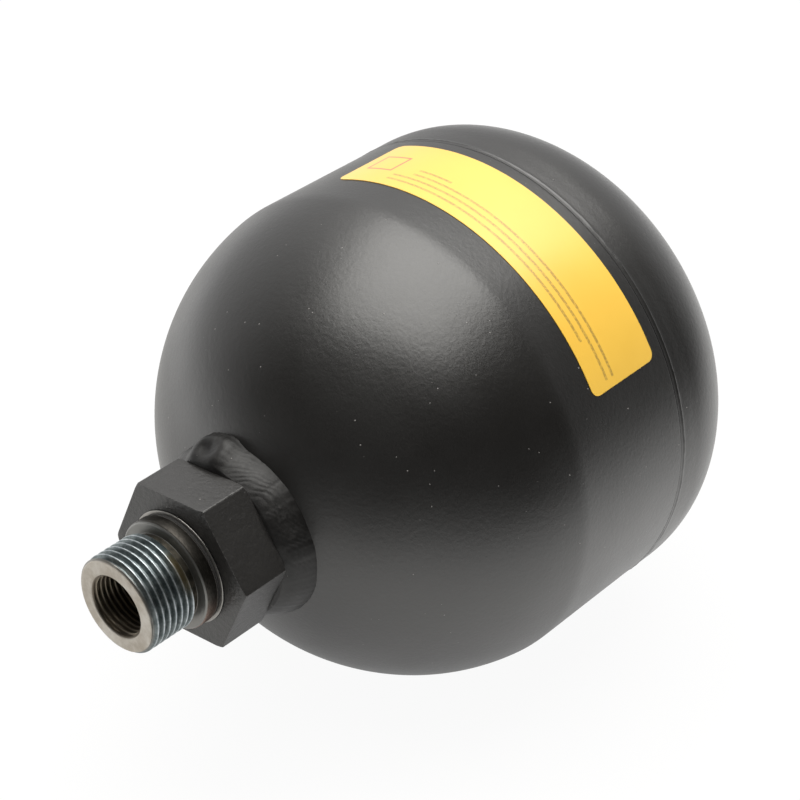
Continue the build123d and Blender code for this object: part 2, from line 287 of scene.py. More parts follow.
class Tree:
    """A short way to build a node tree."""

    def __init__(self, tree):
        self.tree = tree

    def add(self, kind, **values):
        """A new node with those settings."""
        node = self.tree.nodes.new(kind)
        for key, value in values.items():
            setattr(node, key, value)
        return node

    def link(self, source, target):
        """Joins one node's output to another's input."""
        self.tree.links.new(source, target)

    def feed(self, socket, source):
        """Puts a number, a colour or another node's output into a socket."""
        if isinstance(source, bpy.types.NodeSocket):
            self.link(source, socket)
        else:
            socket.default_value = source

    def math(self, operation, a, b=0.0, c=0.0):
        """One step of arithmetic on numbers and outputs."""
        node = self.add("ShaderNodeMath", operation=operation)
        for socket, source in zip(node.inputs, (a, b, c)):
            self.feed(socket, source)
        return node.outputs[0]

    def times(self, a, b):
        """The product of two values."""
        return self.math("MULTIPLY", a, b)

    def step(self, value, low, high, start=0.0, end=1.0):
        """A smooth step from start to end as value goes from low to high."""
        node = self.add("ShaderNodeMapRange", interpolation_type="SMOOTHSTEP")
        for socket, source in zip(node.inputs, (value, low, high, start, end)):
            self.feed(socket, source)
        return node.outputs["Result"]

    def along(self, place, direction):
        """How far a place or a direction reaches along a fixed direction."""
        node = self.add("ShaderNodeVectorMath", operation="DOT_PRODUCT")
        self.link(place, node.inputs[0])
        node.inputs[1].default_value = direction
        return node.outputs["Value"]

    def mix_shaders(self, factor, first, second, output):
        """Sends two shaders, mixed by the factor, to the tree's output node."""
        node = self.add("ShaderNodeMixShader")
        for socket, source in zip(node.inputs, (factor, first, second)):
            self.link(source, socket)
        self.link(node.outputs[0], output.inputs["Surface"])


class Nodes(Tree):
    """A short way to build one material's nodes."""

    def __init__(self, name):
        self.material = bpy.data.materials.new(name)
        self.material.use_nodes = True
        super().__init__(self.material.node_tree)
        self.shader = self.tree.nodes["Principled BSDF"]
        self.place = self.add("ShaderNodeTexCoord").outputs["Object"]

    def set(self, **values):
        """Constants on the shader's own sockets."""
        for key, value in values.items():
            self.shader.inputs[key.replace("_", " ")].default_value = value

    def noise(self, scale, detail=2.0, roughness=0.5, place=None):
        """A noise between 0 and 1."""
        node = self.add("ShaderNodeTexNoise")
        self.link(place or self.place, node.inputs["Vector"])
        node.inputs["Scale"].default_value = scale
        node.inputs["Detail"].default_value = detail
        node.inputs["Roughness"].default_value = roughness
        return node.outputs["Fac"]

    def stretched(self, scale):
        """Object coordinates scaled along each axis."""
        node = self.add("ShaderNodeMapping")
        self.link(self.place, node.inputs["Vector"])
        node.inputs["Scale"].default_value = scale
        return node.outputs["Vector"]

    def band(self, value, low, high, edge):
        """1 between low and high and 0 outside."""
        rise = self.step(value, low - edge, low + edge)
        return self.times(rise, self.step(value, high - edge, high + edge, 1, 0))

    def mix(self, factor, a, b):
        """Colour a where the factor is 0 and colour b where it is 1."""
        node = self.add("ShaderNodeMix", data_type="RGBA")
        self.feed(node.inputs["Factor"], factor)
        self.feed(node.inputs["A"], a)
        self.feed(node.inputs["B"], b)
        return node.outputs["Result"]

    def mottled(self, noise, pair, low=0.3, high=0.7):
        """Two colours in patches."""
        return self.mix(self.step(noise, low, high), *pair)

    def round_place(self):
        """(radius from the axis, place along it, angle round it in degrees) of a point."""
        split = self.add("ShaderNodeSeparateXYZ")
        self.link(self.place, split.inputs[0])
        x, y, z = split.outputs
        radius = self.math("SQRT", self.math("ADD", self.times(x, x), self.times(z, z)))
        angle = self.times(self.math("ARCTAN2", z, x), 180 / math.pi)
        return radius, y, angle

    def attribute(self, name):
        """A number that add_attribute left on the mesh."""
        return self.add("ShaderNodeAttribute", attribute_name=name).outputs["Fac"]

    def bump(self, height, distance, strength=1.0, below=None):
        """Relief, laid over the relief below it."""
        node = self.add("ShaderNodeBump")
        node.inputs["Strength"].default_value = strength
        node.inputs["Distance"].default_value = distance
        self.link(height, node.inputs["Height"])
        if below:
            self.link(below, node.inputs["Normal"])
        self.link(node.outputs["Normal"], self.shader.inputs["Normal"])
        return node.outputs["Normal"]

    def finish(self, color, roughness):
        """The material, with its colour and roughness in place."""
        self.feed(self.shader.inputs["Base Color"], color)
        self.feed(self.shader.inputs["Roughness"], roughness)
        return self.material


def grey(level, warm=0.0):
    """A near-neutral linear colour; warm above 0 leans to brown."""
    return (level * (1 + warm), level, level * (1 - warm), 1.0)


def specks(nodes, scale, size, share):
    """1 on a few small dots, 0 elsewhere."""
    cells = nodes.add("ShaderNodeTexVoronoi")
    nodes.link(nodes.place, cells.inputs["Vector"])
    cells.inputs["Scale"].default_value = scale
    chosen = nodes.add("ShaderNodeSeparateColor")
    nodes.link(cells.outputs["Color"], chosen.inputs[0])
    is_chosen = nodes.step(chosen.outputs[0], 1 - share, 1 - share + 0.001)
    width = nodes.math("MULTIPLY_ADD", chosen.outputs[1], size, size * 0.5)
    past_edge = nodes.math("SUBTRACT", cells.outputs["Distance"], width)
    return nodes.times(is_chosen, nodes.step(past_edge, -0.3 * size, 0.3 * size, 1, 0))


# ---------------------------------------------------------------- materials

# the bare stud's linear colours; a pair is what a mottled surface varies between. Some are painted shade,
# painted highlights or a painted reflection, as marked at each
FLANK = (0.10, 0.12, 0.124, 1), (0.22, 0.25, 0.255, 1)
CREST = (0.26, 0.30, 0.32, 1), (0.58, 0.62, 0.64, 1)
# painted shade in the relief groove between the thread and the collar
RELIEF_PAINTED_SHADE = (0.035, 0.033, 0.028, 1), (0.10, 0.09, 0.07, 1)
BROWNED = (0.025, 0.023, 0.020, 1), (0.060, 0.055, 0.048, 1)
# pinkish heat tint, made lighter as a painted reflection on the collar's lower side
HEAT_TINT_PAINTED_REFLECTION = (0.13, 0.075, 0.055, 1), (0.30, 0.21, 0.17, 1)
# the bore's colour from its mouth to its bottom: brownish, darker deeper in as painted shade
BORE_PAINTED_SHADE = (0.15, 0.125, 0.095, 1), (0.085, 0.062, 0.035, 1)
END_FACE = (0.42, 0.375, 0.315, 1), (0.60, 0.57, 0.52, 1)
# yellowish heat tint on the run-out, partly a painted golden reflection
STRAW_TINT_AND_REFLECTION = (0.25, 0.19, 0.085, 1)
WORN_THREAD = (0.27, 0.25, 0.225, 1)
# painted highlights on the collar's front and back edges
COLLAR_FRONT_HIGHLIGHT = (0.22, 0.22, 0.21, 1)
COLLAR_BACK_HIGHLIGHT = (0.42, 0.40, 0.38, 1)
# painted shade in the narrow groove next to the hexagon
GROOVE_PAINTED_SHADE = (0.012, 0.012, 0.011, 1)
LIP_EDGE = (0.34, 0.33, 0.31, 1)
INNER_CREST = (0.27, 0.235, 0.18, 1)

def black_paint(name, level=0.008, roughness=0.38, grain=1.0, gloss=1.0, worn=False, dusty=0.0):
    """Satin black lacquer: orange peel, a fine grain, patches of sheen and a few dust nibs."""
    nodes = Nodes(name)
    patches = nodes.noise(26.0, 3.0, 0.6)
    waves = nodes.noise(95.0, 2.0, 0.5)
    peel = nodes.noise(780.0, 2.0, 0.55)
    fine_grain = nodes.noise(2300.0, 2.0, 0.6)
    dust = specks(nodes, 620.0, 0.085, 0.085)
    body = nodes.mottled(patches, (grey(level, 0.10), grey(level * 1.35, 0.07)))
    color = nodes.mix(dust, body, grey(0.20, 0.05))
    sheen = nodes.math("MULTIPLY_ADD", nodes.step(patches, 0.25, 0.75), 0.06, roughness - 0.03)
    rough = nodes.math("MULTIPLY_ADD", nodes.math("SUBTRACT", fine_grain, 0.5), 0.14, sheen)
    if worn:
        scuffs = nodes.step(nodes.noise(1100.0, 3.0, 0.6), 0.40, 0.60)
        wear = nodes.times(nodes.attribute("wear"), scuffs)
        color = nodes.mix(wear, color, grey(0.26, 0.02))
    if dusty:
        film = nodes.times(nodes.step(nodes.noise(240.0, 4.0, 0.65), 0.45, 0.75), dusty)
        color = nodes.mix(film, color, grey(0.06, 0.03))
    broad = nodes.bump(waves, 0.00011 * grain, 0.5)
    soft = nodes.bump(peel, 0.00007 * grain, 0.75, broad)
    small = nodes.bump(fine_grain, 0.00002 * grain, 0.8, soft)
    nodes.bump(dust, 0.00010, 0.8, small)
    nodes.set(Specular_IOR_Level=gloss)
    return nodes.finish(color, rough)


def port_steel():
    """The bare stud: zinc-blue thread with bright crests, a yellowish heat-tinted run-out partly painted as
    a golden reflection, browned collar with painted highlights on its edges and a painted reflection on its
    lower side, painted shade in the relief groove, in the groove by the hexagon and deep in the bore, pale
    end face.
    """
    nodes = Nodes("port_steel")
    radius, place, angle = nodes.round_place()
    crest = nodes.attribute("crest")
    mottle = nodes.noise(420.0, 4.0, 0.65)
    streaks = nodes.noise(60.0, 3.0, 0.6, nodes.stretched((18.0, 90.0, 18.0)))

    is_crest = nodes.step(crest, 0.82, 1.0)
    thread = nodes.mix(is_crest, nodes.mottled(mottle, FLANK, 0.35), nodes.mottled(mottle, CREST))
    # the run-out's heat tint, laid on one side only, where it stands in for a golden reflection: partly
    # painted reflection
    run_out = nodes.band(place, 11.8 * MM, 14.3 * MM, 0.9 * MM)
    straw_tint_and_reflection = nodes.times(run_out, nodes.band(angle, 18.0, 62.0, 14.0))
    thread = nodes.mix(nodes.times(straw_tint_and_reflection, 0.60), thread, STRAW_TINT_AND_REFLECTION)
    worn_end = nodes.step(place, 1.3 * MM, 0.8 * MM)
    thread = nodes.mix(nodes.times(worn_end, 0.75), thread, WORN_THREAD)
    # past the thread, the relief groove takes its painted shade
    past_thread = nodes.step(place, STUD_THREAD_END - 0.2 * MM, STUD_THREAD_END + 1.0 * MM)
    color = nodes.mix(past_thread, thread, nodes.mottled(mottle, RELIEF_PAINTED_SHADE))

    # the collar's lower side: pinkish heat tint, lightened as a painted reflection
    painted_reflection_side = nodes.band(angle, -75.0, -15.0, 18.0)
    collar = nodes.mix(painted_reflection_side, nodes.mottled(streaks, BROWNED), nodes.mottled(streaks, HEAT_TINT_PAINTED_REFLECTION))
    # light lines on the collar's front and back edges: painted highlights
    front_edge_highlight = nodes.band(place, COLLAR_START - 0.1 * MM, COLLAR_START + 0.35 * MM, 0.15 * MM)
    collar = nodes.mix(front_edge_highlight, collar, COLLAR_FRONT_HIGHLIGHT)
    back_edge_highlight = nodes.step(place, COLLAR_END - 0.28 * MM, COLLAR_END - 0.12 * MM)
    collar = nodes.mix(back_edge_highlight, collar, COLLAR_BACK_HIGHLIGHT)
    color = nodes.mix(nodes.step(place, COLLAR_START - 0.3 * MM, COLLAR_START), color, collar)
    # painted shade: the groove next to the hexagon, and all that lies past it, are darkened
    groove_shade = nodes.step(place, COLLAR_END + 0.05 * MM, COLLAR_END + 0.15 * MM)
    color = nodes.mix(groove_shade, color, GROOVE_PAINTED_SHADE)
    lip = nodes.band(place, GROOVE_END - 0.05 * MM, GROOVE_END + 0.22 * MM, 0.06 * MM)
    color = nodes.mix(lip, color, LIP_EDGE)

    # the bore darkens towards its bottom: painted shade
    bore = nodes.mix(nodes.step(place, 1.0 * MM, 12.0 * MM), *BORE_PAINTED_SHADE)
    bore = nodes.mix(nodes.step(crest, 0.6, 1.0), bore, INNER_CREST)
    color = nodes.mix(nodes.step(radius, 9.6 * MM, 9.2 * MM), color, bore)
    face = nodes.times(nodes.step(place, 0.35 * MM, 0.05 * MM), nodes.step(radius, 8.6 * MM, 8.9 * MM))
    color = nodes.mix(face, color, nodes.mottled(nodes.noise(150.0, 5.0, 0.7), END_FACE))

    rough = nodes.math("MULTIPLY_ADD", mottle, 0.20, 0.30)
    rough = nodes.math("MULTIPLY_ADD", face, 0.12, rough)
    turned_rings = nodes.math("SINE", nodes.times(radius, 2 * math.pi / (0.22 * MM)))
    low = nodes.bump(nodes.times(turned_rings, face), 0.000004, 0.5)
    nodes.bump(nodes.noise(900.0, 2.0, 0.6), 0.000012, 0.35, low)
    nodes.set(Metallic=0.9, Specular_IOR_Level=0.5)
    return nodes.finish(color, rough)


def turned_steel(name, level, spacing, roughness=0.30):
    """Plain steel left from the lathe: fine grooves round the axis, slight stains."""
    nodes = Nodes(name)
    radius, place, _ = nodes.round_place()
    stains = nodes.noise(130.0, 4.0, 0.6)
    color = nodes.mottled(stains, (grey(level * 0.72, 0.05), grey(level)))
    wobble = nodes.times(nodes.noise(500.0, 2.0, 0.5), 3.0)
    turns = nodes.times(nodes.math("ADD", radius, place), 2 * math.pi / spacing)
    grooves = nodes.math("SINE", nodes.math("ADD", turns, wobble))
    nodes.bump(grooves, 0.000003, 0.5)
    rough = nodes.math("MULTIPLY_ADD", stains, 0.16, roughness - 0.08)
    nodes.set(Metallic=1.0)
    return nodes.finish(color, rough)


def moulded_rubber(name):
    """Black moulded rubber with a faint bloom."""
    nodes = Nodes(name)
    bloom = nodes.noise(45.0, 4.0, 0.6)
    grain = nodes.noise(1400.0, 3.0, 0.6)
    color = nodes.mottled(bloom, (grey(0.016), grey(0.034, 0.04)), 0.35, 0.75)
    rough = nodes.math("MULTIPLY_ADD", bloom, 0.18, 0.50)
    nodes.bump(grain, 0.00002, 0.5)
    nodes.set(Specular_IOR_Level=0.4)
    return nodes.finish(color, rough)


LINE_WIDTH = 0.85 * MM
LINE_PITCH = 2.5 * MM
LINE_FIRST = 3.9 * MM
# where each ruled line starts and stops along the label, in millimetres
RULED = ((15.0, 88.0), (15.0, 100.0), (20.0, 100.0), (20.0, 31.0))
# the outlined frame: (start, end) across and along the label
FRAME_ACROSS = (8.0 * MM, 17.0 * MM)
FRAME_ALONG = (3.6 * MM, 12.6 * MM)
FRAME_LINE = 0.6 * MM
INK_EDGE = 0.08 * MM
YELLOW = (0.86, 0.51, 0.042, 1), (0.90, 0.545, 0.052, 1)
BROWN_INK = (0.16, 0.085, 0.02, 1)
RED_INK = (0.60, 0.09, 0.045, 1)


def printed_label():
    """Yellow film with generic print: an empty outlined frame at one end and thin ruled lines."""
    nodes = Nodes("yellow_label")
    _, place, angle = nodes.round_place()
    along = nodes.times(nodes.math("SUBTRACT", LABEL_TO, angle), math.radians(1) * LABEL_RADIUS)
    across = nodes.math("SUBTRACT", place, LABEL_START)
    fade = nodes.noise(35.0, 3.0, 0.55)
    color = nodes.mottled(fade, YELLOW)
    ink_grain = nodes.step(nodes.noise(1500.0, 3.0, 0.7), 0.36, 0.56, 0.35, 1.0)
    for k, (begin, finish) in enumerate(RULED):
        middle = LINE_FIRST + k * LINE_PITCH
        strip = nodes.band(across, middle - LINE_WIDTH / 2, middle + LINE_WIDTH / 2, INK_EDGE)
        line = nodes.times(strip, nodes.band(along, begin * MM, finish * MM, 0.10 * MM))
        color = nodes.mix(nodes.times(nodes.times(line, ink_grain), 0.60), color, BROWN_INK)
    filled = []
    for inset in (0.0, FRAME_LINE):
        sides = nodes.band(across, FRAME_ACROSS[0] + inset, FRAME_ACROSS[1] - inset, INK_EDGE)
        ends = nodes.band(along, FRAME_ALONG[0] + inset, FRAME_ALONG[1] - inset, INK_EDGE)
        filled.append(nodes.times(sides, ends))
    color = nodes.mix(nodes.math("SUBTRACT", *filled), color, RED_INK)
    rough = nodes.math("MULTIPLY_ADD", fade, 0.10, 0.30)
    nodes.bump(nodes.noise(380.0, 2.0), 0.000015, 0.4)
    nodes.set(Specular_IOR_Level=1.0, Coat_Weight=0.8, Coat_Roughness=0.36)
    return nodes.finish(color, rough)


PAINT = black_paint("black_paint")
HEX_PAINT = black_paint("black_paint_hex", level=0.011, roughness=0.42, grain=3.0, gloss=0.82, worn=True)
WELD_PAINT = black_paint(
    "black_paint_weld", level=0.005, roughness=0.44, grain=0.9, gloss=0.42, worn=True, dusty=0.22
)
PORT_STEEL = port_steel()
SCREW_STEEL = turned_steel("screw_steel", 0.42, 0.16 * MM)
INNER_STEEL = turned_steel("inner_steel", 0.36, 0.30 * MM, 0.36)
RUBBER = moulded_rubber("black_rubber")
LABEL_FILM = printed_label()


def coat(piece, material):
    """Gives a piece one material in place of what it had."""
    piece.data.materials.clear()
    piece.data.materials.append(material)


def dress(piece, material, body, slot, *nodes):
    """Gives a piece its material and its body, and hides the CAD nodes that it stands for. The slot is not
    used.
    """
    coat(piece, material)
    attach(piece, body)
    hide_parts(*nodes)


# ---------------------------------------------------------------- shells and seam


def forged(turn, radius, place):
    """The slight unevenness that a forged and blasted wall keeps under its paint."""
    swell = 0.05 * MM * wave(turn, place / 0.03, 3.0, 2.2)
    return radius + swell * min(1.0, radius / (20 * MM)), place


def make_fluid_shell():
    """Front dome and band, with the soft crease between them."""
    hole = pole_angle(NECK_RADIUS, DOME_RADIUS)
    crease = math.degrees(math.acos((BAND_LEAD + CREASE) / DOME_DEPTH))
    dome = ellipse(DOME_RADIUS, -DOME_DEPTH, DOME_CENTRE, hole, crease, 110)
    bend = blend_corner(dome[-1], (BAND_RADIUS, BAND_START), (BAND_RADIUS, BAND_START + CREASE), 8)
    rim = (BAND_RADIUS, SEAM_START)
    lip = blend_corner((BAND_RADIUS, SEAM_START - 0.5 * MM), rim, (BAND_RADIUS - 0.1 * MM, SEAM_START), 4)
    band = fine([bend[-1], lip[0]], 2.0 * MM)
    inside = [(BORE_RADIUS, SEAM_START), (BORE_RADIUS, DOME_CENTRE)]
    bore = ellipse(BORE_RADIUS, WALL - DOME_DEPTH, DOME_CENTRE, 90, pole_angle(NECK_RADIUS, BORE_RADIUS), 24)
    profile = dome[:-1] + bend[:-1] + band[:-1] + lip + fine(inside, 6 * MM)[:-1] + bore
    return lathe("fluid_shell_painted", profile, SHELL_SEGMENTS, forged)


def seam_drift(turn):
    """How far the seam wanders from its place, between about -1 and 1."""
    return wave(turn, 0.0, 7.0, 5.0) + 0.5 * wave(turn, 0.0, 1.0, 18.0)


def seam_edge(turn, radius, place):
    """The rear shell's rim wanders slightly beside the seam."""
    if place > SEAM_END + SEAM_DRIFT_REACH:
        return forged(turn, radius, place)
    near = 1 - max(0.0, place - SEAM_END) / SEAM_DRIFT_REACH
    return radius, place + SEAM_DRIFT * seam_drift(turn) * near * (1 - near)


def make_gas_shell():
    """Rear dome, level with the band beside the seam."""
    wide = BAND_RADIUS + REAR_SWELL
    rim = [
        (BAND_RADIUS + 0.06 * MM, SEAM_END),
        (BAND_RADIUS + 0.03 * MM, SEAM_END + 0.5 * MM),
        (BAND_RADIUS + 0.09 * MM, SEAM_END + 2.4 * MM),
        (wide, REAR_CENTRE),
    ]
    dome = ellipse(wide, REAR_DEPTH, REAR_CENTRE, 90, pole_angle(GAS_NECK_RADIUS, wide), 90)
    hole = pole_angle(GAS_NECK_RADIUS, BORE_RADIUS)
    bore = ellipse(BORE_RADIUS, REAR_DEPTH - WALL, REAR_CENTRE, hole, 90, 24)
    inside = [(BORE_RADIUS, REAR_CENTRE), (BORE_RADIUS, SEAM_END)]
    profile = fine(rounded(rim, 0.4 * MM), 1.0 * MM)[:-1] + dome + bore[:-1] + inside
    return lathe("gas_shell_painted", profile, SHELL_SEGMENTS, seam_edge)


def seam_ripple(turn, radius, place):
    """The bead's height is uneven and its crest wanders a little."""
    share = (place - SEAM_START) / (SEAM_END - SEAM_START)
    if radius < BAND_RADIUS - 1.5 * MM or not 0.02 < share < 0.98:
        return radius, place
    uneven = 1 + 0.6 * wave(turn, 0.0, 5.0, 16.0) + 0.7 * wave(turn, 0.0, 9.0, 70.0)
    middle = math.sin(math.pi * share)
    lifted = BAND_RADIUS + (radius - BAND_RADIUS) * uneven
    return min(REAR_RADIUS - 0.01 * MM, lifted), place + SEAM_DRIFT * seam_drift(turn) * middle


def make_girth_weld():
    """The seam: a low dressed bead, with a slow rise from the band and a short fall to the rear shell."""
    width = SEAM_END - SEAM_START
    bead = [
        (BAND_RADIUS - 0.01 * MM, SEAM_START),
        (BAND_RADIUS + 0.01 * MM, SEAM_START + 0.48 * width),
        (BAND_RADIUS + 0.14 * MM, SEAM_START + 0.76 * width),
        (BAND_RADIUS + 0.15 * MM, SEAM_START + 0.84 * width),
        (BAND_RADIUS + 0.06 * MM, SEAM_END),
    ]
    inside = [(BORE_RADIUS, SEAM_END), (BORE_RADIUS, SEAM_START)]
    return lathe("girth_weld_painted", rounded(bead, 0.2 * MM, 3) + inside, 480, seam_ripple)


dress(make_fluid_shell(), PAINT, "vessel", "black_paint", "fluid_shell")
dress(make_gas_shell(), PAINT, "vessel", "black_paint", "gas_shell")
dress(make_girth_weld(), PAINT, "vessel", "black_paint", "girth_weld")

# ---------------------------------------------------------------- fluid port


# how bare the hexagon's edges are worn, from 0 to 1
FRONT_EDGE_WEAR = 0.55
BACK_EDGE_WEAR = 0.38
CORNER_WEAR = 0.30
# degrees beside a corner at which the hexagon has a column of points
CORNER_COLUMNS = (-1.6, -1.0, -0.6, -0.3, 0.0, 0.3, 0.6, 1.0, 1.6)


def from_corner(column):
    """Degrees from the hexagon's nearest corner, between -30 and 30."""
    return (column - HEX_TURN + 30) % 60 - 30


def hexagon_side(column):
    """Distance from the axis to the hexagon's side, for a direction in degrees round Y."""
    off = abs(from_corner(column))
    to_side = HEX_FLATS / 2 / math.cos(math.radians(30 - off))
    if to_side <= HEX_CORNER - 2 * HEX_BLUNT:
        return to_side
    return to_side - HEX_BLUNT * max(0.0, 1 - off / 1.3) ** 1.6


def make_hexagon():
    """The painted hexagon, with fine bevelled edges that wear shows on."""
    flat_steps = 20
    rim = CORNER_COLUMNS[-1]
    columns = []
    for side in range(6):
        corner = 60 * side + HEX_TURN
        columns += [corner + offset for offset in CORNER_COLUMNS]
        columns += [corner + rim + (60 - 2 * rim) * k / flat_steps for k in range(1, flat_steps)]
    thickness = HEX_BACK - HEX_FRONT
    points, wear = [], []

    def row(share, drop, inset, worn, from_back):
        """One ring of points, at a share of the way from the neck to the hexagon's side."""
        for column in columns:
            start = NECK_RADIUS - 0.1 * MM
            radius = start + share * (hexagon_side(column) - inset - start)
            depth = drop + max(0.0, radius - (HEX_CORNER - HEX_CHAMFER)) * math.tan(math.radians(30))
            place = HEX_BACK - depth if from_back else HEX_FRONT + depth
            points.append(turned(radius, place, math.radians(column)))
            at_corner = share == 1.0 and abs(from_corner(column)) < 0.2
            wear.append(CORNER_WEAR + worn if at_corner else worn)

    shares = (0.0, 0.34, 0.67, 0.9)
    edge = [(math.sin(math.radians(a)), 1 - math.cos(math.radians(a))) for a in (0, 22.5, 45, 67.5, 90)]
    for share in shares:
        row(share, 0.0, HEX_BEVEL, 0.0, False)
    for k, (out, down) in enumerate(edge):
        row(1.0, down * HEX_BEVEL, HEX_BEVEL * (1 - out), FRONT_EDGE_WEAR if k == 2 else 0.0, False)
    for k in range(1, 12):
        row(1.0, HEX_BEVEL + (thickness - 2 * HEX_BEVEL) * k / 12, 0.0, 0.0, False)
    for k, (out, down) in enumerate(reversed(edge)):
        row(1.0, down * HEX_BEVEL, HEX_BEVEL * (1 - out), BACK_EDGE_WEAR if k == 2 else 0.0, True)
    for share in reversed(shares):
        row(share, 0.0, HEX_BEVEL, 0.0, True)
    piece = woven("port_hexagon", points, len(columns), 20)
    add_attribute(piece.data, "wear", wear)
    return piece


def stud_shape(turn, radius, place):
    """Cuts both threads into the turned stud."""
    if place < STUD_THREAD_END + 0.3 * MM and radius > STUD_RADIUS - 1.0 * MM:
        cut = thread_depth(turn, place, -0.25 * MM, STUD_THREAD_END + 0.3 * MM, STUD_PITCH)
        return min(radius, STUD_RADIUS - STUD_THREAD_DEPTH * cut), place
    if place < INNER_THREAD_END and radius < INNER_BORE_RADIUS + 0.05 * MM:
        cut = 1 - thread_depth(turn, place, 0.0, INNER_THREAD_END + 5 * MM, INNER_PITCH)
        fade = clamp((INNER_THREAD_END - place) / INNER_THREAD_FADE)
        return radius + INNER_THREAD_DEPTH * cut * fade, place
    return radius, place


def make_stud():
    """Thread, relief, collar, lip and the bored inside, turned as one closed profile."""
    step = STUD_PITCH / 22
    thread = fine([(STUD_RADIUS, STUD_CHAMFER), (STUD_RADIUS, STUD_THREAD_END)], step)
    relief = [
        (STUD_RADIUS, STUD_THREAD_END),
        (RELIEF_RADIUS, STUD_THREAD_END + 0.75 * MM),
        (RELIEF_RADIUS, COLLAR_START),
        (COLLAR_RADIUS - 0.5 * MM, COLLAR_START),
        (COLLAR_RADIUS, COLLAR_START + 0.6 * MM),
        (COLLAR_RADIUS, COLLAR_END),
        (GROOVE_RADIUS, COLLAR_END),
        (GROOVE_RADIUS, GROOVE_END),
        (LIP_RADIUS, GROOVE_END),
        (LIP_RADIUS, HEX_FRONT),
        (LIP_RADIUS, SEAT_FACE),
        (PASSAGE_RADIUS + 1.0 * MM, SEAT_FACE),
        (PASSAGE_RADIUS, SEAT_FACE - 1.0 * MM),
        (PASSAGE_RADIUS, INNER_THREAD_END + 2.0 * MM),
        (INNER_BORE_RADIUS, INNER_THREAD_END),
    ]
    mouth = [
        (INNER_BORE_RADIUS, MOUTH_CHAMFER),
        (INNER_BORE_RADIUS + MOUTH_CHAMFER, 0),
        (STUD_RADIUS - STUD_CHAMFER, 0),
        (STUD_RADIUS, STUD_CHAMFER),
    ]
    inner = fine([relief[-1], mouth[0]], INNER_PITCH / 14)
    face = fine(rounded(mouth, 0.18 * MM, 3), 0.5 * MM)
    profile = thread[:-1] + rounded(relief, 0.22 * MM, 3)[:-1] + inner[:-1] + face[:-1]
    piece = lathe("port_stud", profile, 288, stud_shape, angle=40)
    crests = []
    for vertex in piece.data.vertices:
        radius = math.hypot(vertex.co.x, vertex.co.z)
        if radius > STUD_RADIUS - 1.3 * MM:
            crests.append(clamp(1 - (STUD_RADIUS - radius) / STUD_THREAD_DEPTH))
        else:
            crests.append(clamp(1 - (radius - INNER_BORE_RADIUS) / INNER_THREAD_DEPTH))
    add_attribute(piece.data, "crest", crests)
    return piece


dress(make_hexagon(), HEX_PAINT, "vessel", "black_paint", "fluid_port")
dress(make_stud(), PORT_STEEL, "vessel", "port_steel", "fluid_port")

# ---------------------------------------------------------------- weld round the port

WELD_TOP_RADIUS = 21.6 * MM
BEAD_HEIGHT = 0.62 * MM
LOW_SIDE = math.radians(-40)  # where the bead is broadest and flattest
RIPPLES = 54
RIPPLE_SWEEP = 6.0  # how many ripples a crest is swept round by, from the hexagon to the dome
RIPPLE_SIDE = 62.0  # degrees round Y, where the ripples stand highest
STOP_ANGLE = 105.0
STOP_WIDTH = 16.0
LUMP = 2.0 * MM
CRATER_DEPTH = 2.2 * MM


def dome_place(radius):
    """Place of the front dome's surface at a radius."""
    return DOME_CENTRE - DOME_DEPTH * math.sqrt(1 - (radius / DOME_RADIUS) ** 2)


def turn_from(degrees, middle):
    """Degrees round the axis from the middle, between -180 and 180."""
    return (degrees - middle + 180) % 360 - 180


def weld_point(turn, t):
    """(point, wear) on the bead, at a share t of the way from the hexagon to the dome."""
    degrees = math.degrees(turn)
    low_side = math.cos(turn - LOW_SIDE)
    toe = WELD_REACH - 1.0 * MM + 0.85 * MM * low_side + 0.30 * MM * wave(turn, 0, 4.0, 2.6)
    toe = min(WELD_REACH - 0.06 * MM, toe + 0.14 * MM * wave(turn, 0, 8.0, 16.0))
    top = WELD_TOP_RADIUS + 0.20 * MM * wave(turn, 0, 2.0, 6.0)
    toe_place = dome_place(toe)
    radius, place = top + (toe - top) * t, HEX_BACK + (toe_place - HEX_BACK) * t
    slope = Vector((toe - top, toe_place - HEX_BACK)).normalized()
    out = Vector((slope.y, -slope.x))
    crown = math.sin(math.pi * min(1.0, t * 1.02))

    ripple_side = math.exp(-((turn_from(degrees, RIPPLE_SIDE) / 48.0) ** 4))
    sweep = RIPPLE_SWEEP * t**1.2 + 1.5 * wave(turn, t * 0.8, 6.0, 5.0)
    edge = abs(math.sin(math.pi * (turn * RIPPLES / (2 * math.pi) + sweep))) ** 0.75
    ripple = (0.04 + 0.06 * ripple_side) * MM * (1 + 1.2 * wave(turn, 2 * t, 11.0, 9.0)) * (edge - 0.5)

    lump = math.exp(-((turn_from(degrees, STOP_ANGLE) / STOP_WIDTH) ** 4))
    mound = LUMP * lump * math.sin(math.pi * min(1.0, t * 0.86 + 0.16)) ** 0.8
    from_crater = (turn_from(degrees, STOP_ANGLE + 1) / 10.0) ** 2 + ((t - 0.42) / 0.30) ** 2
    crater = CRATER_DEPTH * math.exp(-from_crater)
    rough = noise.noise(Vector(turned(radius, place, turn)) * 420)

    height = (BEAD_HEIGHT - 0.18 * MM * low_side) * crown + ripple * crown**0.6 * (1 - 0.8 * lump)
    height += mound - crater + 0.10 * MM * rough * (0.3 + lump) * crown
    spread = LUMP * lump * t
    p = Vector((radius + spread, place)) + out * height
    if t == 1.0:
        p = Vector((toe + spread, dome_place(toe + spread) + 0.25 * MM))
    return turned(p.x, p.y, turn), 0.06 * edge * crown * ripple_side * (1 - lump)


